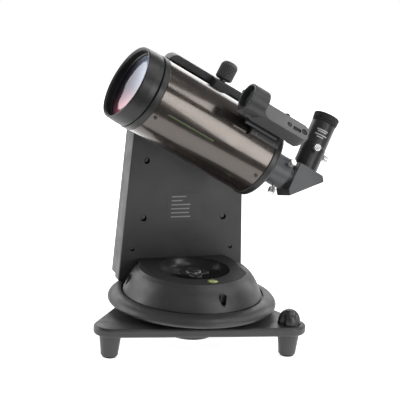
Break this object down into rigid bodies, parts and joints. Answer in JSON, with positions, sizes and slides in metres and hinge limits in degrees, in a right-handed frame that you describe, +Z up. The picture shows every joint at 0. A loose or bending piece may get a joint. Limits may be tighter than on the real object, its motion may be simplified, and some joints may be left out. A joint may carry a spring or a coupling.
{
  "type": "maksutov telescope on a tabletop single-arm mount",
  "caption": "Short closed-tube telescope with star diagonal, eyepiece and sight finder, held by a clamp on a single-arm motorised alt-azimuth mount with a three-footed base.",
  "frame": {"origin": "centre of the hub's flat underside, on the azimuth axis; the feet reach 7.5 mm lower", "axes": "+Z up the azimuth axis; the altitude axis is along +Y, from the tube towards the arm; the tube points towards -X and up"},
  "size_m": [0.341, 0.2694, 0.4004],
  "materials": {
    "black_plastic": "fine moulded grain, satin",
    "grey_plastic": "fine grain, dark grey",
    "satin_black": "satin black over turned aluminium",
    "bronze_paint": "dark bronze metallic gloss",
    "steel": "bright plated",
    "rubber": "matt",
    "coated_glass": "antireflection coated, blue to violet",
    "clear_glass": "polished",
    "mirror": "first-surface aluminised",
    "brass": "machined",
    "level_fluid": "yellow-green, clear"
  },
  "bodies": {
    "base": {"base_plate": "black_plastic", "centre_hub": "black_plastic", "tripod_bush": "steel", "left_foot": "black_plastic", "left_foot_pad": "rubber", "azimuth_spindle": "steel"},
    "right_foot": {"right_foot": "black_plastic", "right_foot_pad": "rubber"},
    "rear_foot": {"rear_foot": "black_plastic", "rear_foot_pad": "rubber"},
    "right_levelling_knob": {"right_levelling_knob": "black_plastic"},
    "rear_levelling_knob": {"rear_levelling_knob": "black_plastic"},
    "turntable": {"turntable_disc": "black_plastic", "housing": "black_plastic", "top_panel": "grey_plastic", "bubble_level": "level_fluid", "arm_front_shell": "black_plastic", "arm_rear_cover": "black_plastic", "arm_screw_1": "steel", "arm_screw_2": "steel", "arm_screw_3": "steel", "altitude_wheel": "brass", "altitude_drive": "steel", "azimuth_wheel": "brass", "azimuth_drive": "steel"},
    "power_switch": {"power_switch": "black_plastic"},
    "azimuth_clamp_knob": {"azimuth_clamp_knob": "black_plastic"},
    "altitude": {"altitude_axle": "steel", "saddle": "black_plastic"},
    "clamp_knob": {"clamp_knob": "black_plastic"},
    "clamp_jaw": {"clamp_jaw": "steel"},
    "tube": {"dovetail_bar": "black_plastic", "tube_shell": "bronze_paint", "front_cell": "satin_black", "retaining_ring": "satin_black", "corrector_lens": "coated_glass", "secondary_baffle": "satin_black", "rear_cell": "satin_black", "primary_baffle": "satin_black", "visual_back": "satin_black", "finder_bracket": "black_plastic", "finder_body": "black_plastic", "finder_window": "clear_glass"},
    "mirror": {"mirror_carrier": "satin_black", "primary_mirror": "mirror"},
    "focus_knob": {"focus_knob": "black_plastic"},
    "back_screw_a": {"back_screw_a": "steel"},
    "back_screw_b": {"back_screw_b": "steel"},
    "diagonal": {"diagonal_body": "black_plastic", "diagonal_nose": "satin_black", "diagonal_mirror": "mirror"},
    "holder_screw_a": {"holder_screw_a": "steel"},
    "holder_screw_b": {"holder_screw_b": "steel"},
    "eyepiece": {"eyepiece_body": "black_plastic", "eyecup": "rubber", "eye_lens": "clear_glass"},
    "finder_dial": {"finder_dial": "grey_plastic"},
    "finder_adjuster_front": {"finder_adjuster_front": "black_plastic"},
    "finder_adjuster_side": {"finder_adjuster_side": "black_plastic"}
  },
  "joints": [
    {"name": "azimuth", "type": "hinge", "parent": "base", "child": "turntable", "pos_m": [0, 0, 0.05], "axis": [0, 0, 1], "continuous": true},
    {"name": "altitude", "type": "hinge", "parent": "turntable", "child": "altitude", "pos_m": [0, 0.05, 0.2856], "axis": [0, 1, 0], "range_deg": [-35, 60]},
    {"name": "dovetail_slide", "type": "slide", "parent": "altitude", "child": "tube", "axis": [-0.8704, 0, 0.4924], "range_m": [-0.012, 0.012]},
    {"name": "clamp_turn", "type": "hinge", "parent": "altitude", "child": "clamp_knob", "pos_m": [0.03456, 0.028, 0.33958], "axis": [0.4849, 0.1736, 0.8571], "range_deg": [0, 724]},
    {"name": "jaw_slide", "type": "slide", "parent": "altitude", "child": "clamp_jaw", "axis": [0.4924, 0, 0.8704], "range_m": [0, 0.0025]},
    {"name": "azimuth_clamp_turn", "type": "hinge", "parent": "base", "child": "azimuth_clamp_knob", "pos_m": [0, 0, 0.08], "axis": [0, 0, 1], "range_deg": [0, 180]},
    {"name": "right_levelling_turn", "type": "hinge", "parent": "base", "child": "right_levelling_knob", "pos_m": [0.10786, -0.08366, 0.05], "axis": [0, 0, 1], "range_deg": [0, 1444]},
    {"name": "right_foot_slide", "type": "slide", "parent": "base", "child": "right_foot", "axis": [0, 0, -1], "range_m": [0, 0.005]},
    {"name": "rear_levelling_turn", "type": "hinge", "parent": "base", "child": "rear_levelling_knob", "pos_m": [0.01852, 0.13524, 0.05], "axis": [0, 0, 1], "range_deg": [0, 1444]},
    {"name": "rear_foot_slide", "type": "slide", "parent": "base", "child": "rear_foot", "axis": [0, 0, -1], "range_m": [0, 0.005]},
    {"name": "focus_turn", "type": "hinge", "parent": "tube", "child": "focus_knob", "pos_m": [0.00197, 0.011, 0.28908], "axis": [0.8704, 0, -0.4924], "range_deg": [-724, 724]},
    {"name": "mirror_slide", "type": "slide", "parent": "tube", "child": "mirror", "axis": [-0.8704, 0, 0.4924], "range_m": [-0.002, 0.002]},
    {"name": "back_screw_a_turn", "type": "hinge", "parent": "tube", "child": "back_screw_a", "pos_m": [0.10253, -0.022, 0.22759], "axis": [0.3165, -0.766, 0.5595], "range_deg": [0, 720]},
    {"name": "back_screw_b_turn", "type": "hinge", "parent": "tube", "child": "back_screw_b", "pos_m": [0.10253, -0.022, 0.22759], "axis": [-0.4463, -0.4226, -0.7888], "range_deg": [0, 720]},
    {"name": "diagonal_turn", "type": "hinge", "parent": "tube", "child": "diagonal", "pos_m": [0.13142, -0.022, 0.21124], "axis": [-0.8704, 0, 0.4924], "range_deg": [-90, 10]},
    {"name": "holder_screw_a_turn", "type": "hinge", "parent": "diagonal", "child": "holder_screw_a", "pos_m": [0.15356, -0.00826, 0.25036], "axis": [-0.1168, -0.9145, 0.3873], "range_deg": [0, 720]},
    {"name": "holder_screw_b_turn", "type": "hinge", "parent": "diagonal", "child": "holder_screw_b", "pos_m": [0.15356, -0.00826, 0.25036], "axis": [0.8157, 0.2151, -0.537], "range_deg": [0, 720]},
    {"name": "eyepiece_slide", "type": "slide", "parent": "diagonal", "child": "eyepiece", "axis": [0.4709, 0.2924, 0.8323], "range_m": [0, 0.02]},
    {"name": "power_switch_slide", "type": "slide", "parent": "turntable", "child": "power_switch", "axis": [1, 0, 0], "range_m": [0, 0.003]},
    {"name": "finder_dial_turn", "type": "hinge", "parent": "tube", "child": "finder_dial", "pos_m": [0.11106, -0.07685, 0.29203], "axis": [0.3601, -0.682, 0.6365], "range_deg": [0, 270]},
    {"name": "finder_adjuster_front_turn", "type": "hinge", "parent": "tube", "child": "finder_adjuster_front", "pos_m": [0.02872, -0.07144, 0.33027], "axis": [0.3358, 0.7314, 0.5936], "range_deg": [-180, 180]},
    {"name": "finder_adjuster_side_turn", "type": "hinge", "parent": "tube", "child": "finder_adjuster_side", "pos_m": [0.08633, -0.07588, 0.30314], "axis": [0.3358, 0.7314, 0.5936], "range_deg": [-180, 180]}
  ],
  "couplings": [
    {"joint": "clamp_turn", "follows": "jaw_slide", "rad_per_m": 5026.6},
    {"joint": "right_levelling_turn", "follows": "right_foot_slide", "rad_per_m": 5026.6},
    {"joint": "rear_levelling_turn", "follows": "rear_foot_slide", "rad_per_m": 5026.6},
    {"joint": "focus_turn", "follows": "mirror_slide", "rad_per_m": 6283.2}
  ]
}
